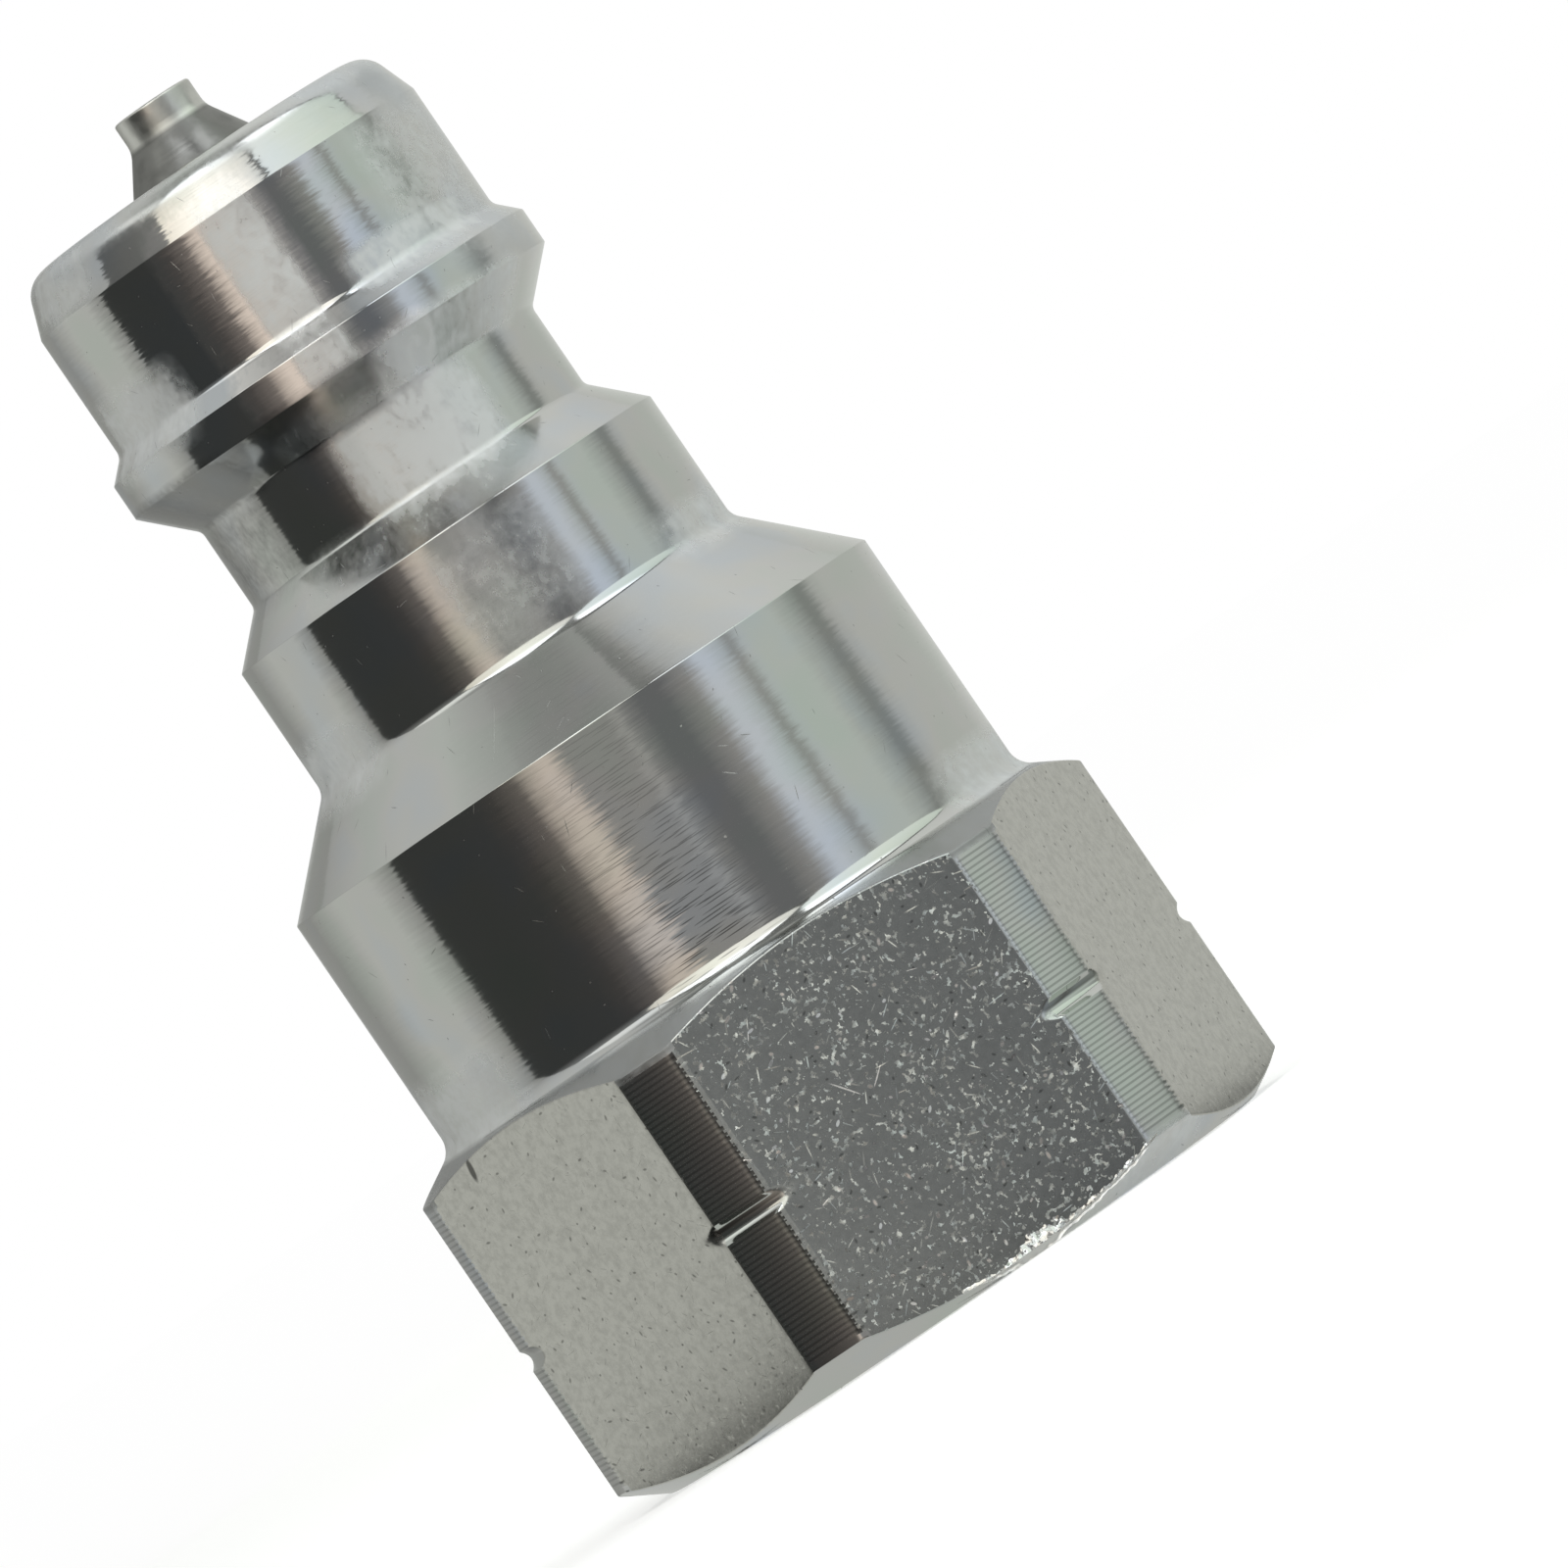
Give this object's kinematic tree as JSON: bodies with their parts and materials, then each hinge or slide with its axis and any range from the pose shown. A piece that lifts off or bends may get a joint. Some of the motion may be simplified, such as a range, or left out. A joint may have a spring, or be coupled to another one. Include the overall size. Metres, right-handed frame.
{
  "type": "hydraulic quick coupler plug",
  "caption": "Male half of a hydraulic quick coupler: turned steel body with a hexagon, a threaded port, a locking groove and a spring-loaded poppet valve.",
  "frame": {"origin": "centre of the port's end face, on which the part stands", "axes": "+Z along the turned axis from the port to the nose; one pair of wrench flats faces -Y and +Y"},
  "size_m": [0.0308, 0.0278, 0.0554],
  "materials": {
    "zinc_plated_steel": "bright zinc plating over turned steel",
    "machined_steel": "bare machined steel",
    "spring_steel": "drawn spring steel",
    "seal_rubber": "matt black nitrile rubber"
  },
  "bodies": {
    "nipple": {"nipple_body": "zinc_plated_steel", "valve_guide": "machined_steel", "guide_retaining_ring": "spring_steel", "valve_spring": "spring_steel"},
    "poppet_valve": {"poppet": "machined_steel", "poppet_seal": "seal_rubber"}
  },
  "joints": [
    {"name": "poppet_slide", "type": "slide", "parent": "nipple", "child": "poppet_valve", "axis": [0, 0, -1], "range_m": [0, 0.006], "stiffness_N_per_m": 2000, "springref_m": -0.006, "deforming": ["valve_spring"]}
  ]
}
